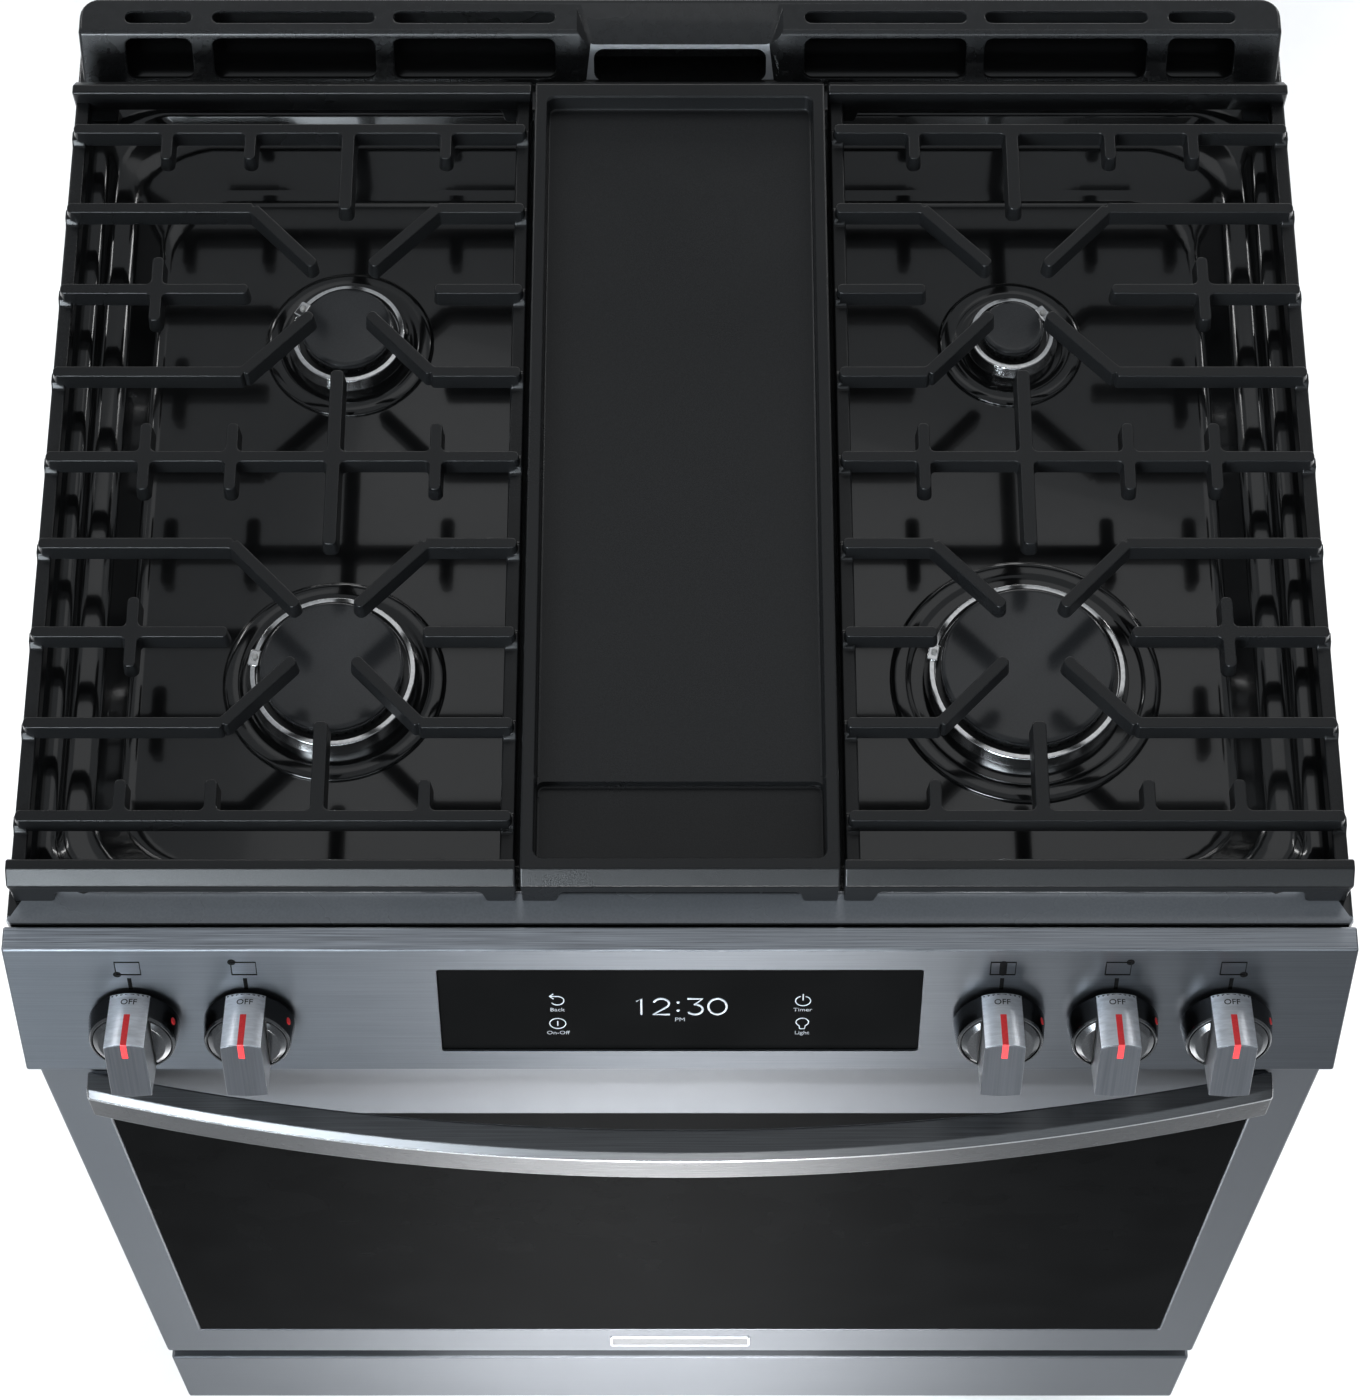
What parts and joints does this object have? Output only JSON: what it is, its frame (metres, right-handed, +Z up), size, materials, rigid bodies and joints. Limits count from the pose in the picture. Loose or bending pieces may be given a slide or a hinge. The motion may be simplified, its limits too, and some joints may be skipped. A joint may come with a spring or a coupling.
{
  "type": "gas range",
  "caption": "Free-standing gas range with a sloping front control panel, cast grates and a griddle over the burners, an oven with a drop-down glass door and a storage drawer.",
  "frame": {"origin": "on the floor under the middle of the range's box", "axes": "+Z up; -Y is the front, where the oven door is; +X to the right of someone facing the door"},
  "size_m": [0.759, 0.714, 0.93],
  "materials": {
    "black_stainless": "dark brushed stainless steel, horizontal grain",
    "polished_steel": "polished dark stainless steel",
    "cast_iron": "matt black enamelled cast iron",
    "gloss_enamel": "gloss black porcelain enamel",
    "satin_enamel": "satin black enamel",
    "cap_enamel": "matt black porcelain enamel",
    "cavity_enamel": "dark speckled porcelain enamel",
    "side_paint": "black painted sheet steel",
    "galvanised_steel": "galvanised sheet steel",
    "burner_aluminium": "polished cast aluminium",
    "burner_steel": "aluminised steel tube",
    "brass": "turned brass",
    "dark_glass": "dark tinted glass",
    "display_glass": "black glass",
    "chrome_wire": "chromed wire",
    "glass_wool": "glass wool",
    "black_plastic": "black plastic",
    "gasket": "woven glass-fibre door seal",
    "white_ceramic": "igniter ceramic",
    "red_mark": "red paint",
    "dark_print": "black print",
    "display_light": "lit display characters"
  },
  "bodies": {
    "range_body": {"leveling_leg_front_left": "black_plastic", "leveling_leg_front_right": "black_plastic", "leveling_leg_rear_left": "black_plastic", "leveling_leg_rear_right": "black_plastic", "base_frame": "galvanised_steel", "left_side_panel": "side_paint", "right_side_panel": "side_paint", "rear_panel": "galvanised_steel", "front_frame": "cavity_enamel", "oven_cavity": "cavity_enamel", "oven_insulation": "glass_wool", "oven_floor": "cavity_enamel", "bake_burner": "burner_steel", "broil_burner": "burner_steel", "cooktop": "gloss_enamel", "rear_vent": "satin_enamel", "burner_head_left_front": "burner_aluminium", "burner_head_left_rear": "burner_aluminium", "burner_head_center": "burner_aluminium", "burner_head_right_rear": "burner_aluminium", "burner_head_right_front": "burner_aluminium", "burner_cap_left_front": "cap_enamel", "burner_cap_left_rear": "cap_enamel", "burner_cap_center": "cap_enamel", "burner_cap_right_rear": "cap_enamel", "burner_cap_right_front": "cap_enamel", "control_panel": "black_stainless", "display_glass": "display_glass", "gas_manifold": "galvanised_steel", "burner_valve_left_front": "brass", "burner_valve_left_rear": "brass", "burner_valve_center": "brass", "burner_valve_right_rear": "brass", "burner_valve_right_front": "brass", "door_hinge_left": "galvanised_steel", "door_hinge_right": "galvanised_steel", "drawer_rail_left": "galvanised_steel", "drawer_rail_right": "galvanised_steel"},
    "oven_door": {"door_frame": "black_stainless", "door_glass": "dark_glass", "door_liner": "cavity_enamel", "door_inner_glass": "dark_glass", "door_handle": "black_stainless"},
    "storage_drawer": {"drawer_front": "black_stainless", "drawer_box": "galvanised_steel"},
    "upper_rack": {"oven_rack_upper": "chrome_wire"},
    "lower_rack": {"oven_rack_lower": "chrome_wire"},
    "left_grate_body": {"left_grate": "cast_iron"},
    "right_grate_body": {"right_grate": "cast_iron"},
    "griddle_body": {"griddle": "cast_iron"},
    "stem_left_front": {"valve_stem_left_front": "galvanised_steel"},
    "knob_body_left_front": {"knob_left_front": "black_stainless"},
    "stem_left_rear": {"valve_stem_left_rear": "galvanised_steel"},
    "knob_body_left_rear": {"knob_left_rear": "black_stainless"},
    "stem_center": {"valve_stem_center": "galvanised_steel"},
    "knob_body_center": {"knob_center": "black_stainless"},
    "stem_right_rear": {"valve_stem_right_rear": "galvanised_steel"},
    "knob_body_right_rear": {"knob_right_rear": "black_stainless"},
    "stem_right_front": {"valve_stem_right_front": "galvanised_steel"},
    "knob_body_right_front": {"knob_right_front": "black_stainless"}
  },
  "joints": [
    {"name": "door_hinge", "type": "hinge", "parent": "range_body", "child": "oven_door", "pos_m": [0, -0.279, 0.196], "axis": [1, 0, 0], "range_deg": [0, 90], "stiffness_Nm_per_rad": 12, "springref_deg": -11.46},
    {"name": "drawer_slide", "type": "slide", "parent": "range_body", "child": "storage_drawer", "axis": [0, -1, 0], "range_m": [0, 0.35]},
    {"name": "upper_rack_slide", "type": "slide", "parent": "range_body", "child": "upper_rack", "axis": [0, -1, 0], "range_m": [0, 0.045]},
    {"name": "lower_rack_slide", "type": "slide", "parent": "range_body", "child": "lower_rack", "axis": [0, -1, 0], "range_m": [0, 0.045]},
    {"name": "left_grate_lift", "type": "slide", "parent": "range_body", "child": "left_grate_body", "axis": [0, 0, 1], "range_m": [0, 0.12]},
    {"name": "right_grate_lift", "type": "slide", "parent": "range_body", "child": "right_grate_body", "axis": [0, 0, 1], "range_m": [0, 0.12]},
    {"name": "griddle_lift", "type": "slide", "parent": "range_body", "child": "griddle_body", "axis": [0, 0, 1], "range_m": [0, 0.12]},
    {"name": "knob_push_left_front", "type": "slide", "parent": "range_body", "child": "stem_left_front", "axis": [0, 0.9537, -0.3007], "range_m": [0, 0.004], "stiffness_N_per_m": 600},
    {"name": "knob_turn_left_front", "type": "hinge", "parent": "stem_left_front", "child": "knob_body_left_front", "pos_m": [-0.3105, -0.29254, 0.84548], "axis": [0, -0.9537, 0.3007], "range_deg": [0, 250]},
    {"name": "knob_push_left_rear", "type": "slide", "parent": "range_body", "child": "stem_left_rear", "axis": [0, 0.9537, -0.3007], "range_m": [0, 0.004], "stiffness_N_per_m": 600},
    {"name": "knob_turn_left_rear", "type": "hinge", "parent": "stem_left_rear", "child": "knob_body_left_rear", "pos_m": [-0.2452, -0.29254, 0.84548], "axis": [0, -0.9537, 0.3007], "range_deg": [0, 250]},
    {"name": "knob_push_center", "type": "slide", "parent": "range_body", "child": "stem_center", "axis": [0, 0.9537, -0.3007], "range_m": [0, 0.004], "stiffness_N_per_m": 600},
    {"name": "knob_turn_center", "type": "hinge", "parent": "stem_center", "child": "knob_body_center", "pos_m": [0.1816, -0.29254, 0.84548], "axis": [0, -0.9537, 0.3007], "range_deg": [0, 250]},
    {"name": "knob_push_right_rear", "type": "slide", "parent": "range_body", "child": "stem_right_rear", "axis": [0, 0.9537, -0.3007], "range_m": [0, 0.004], "stiffness_N_per_m": 600},
    {"name": "knob_turn_right_rear", "type": "hinge", "parent": "stem_right_rear", "child": "knob_body_right_rear", "pos_m": [0.2463, -0.29254, 0.84548], "axis": [0, -0.9537, 0.3007], "range_deg": [0, 250]},
    {"name": "knob_push_right_front", "type": "slide", "parent": "range_body", "child": "stem_right_front", "axis": [0, 0.9537, -0.3007], "range_m": [0, 0.004], "stiffness_N_per_m": 600},
    {"name": "knob_turn_right_front", "type": "hinge", "parent": "stem_right_front", "child": "knob_body_right_front", "pos_m": [0.311, -0.29254, 0.84548], "axis": [0, -0.9537, 0.3007], "range_deg": [0, 250]}
  ]
}
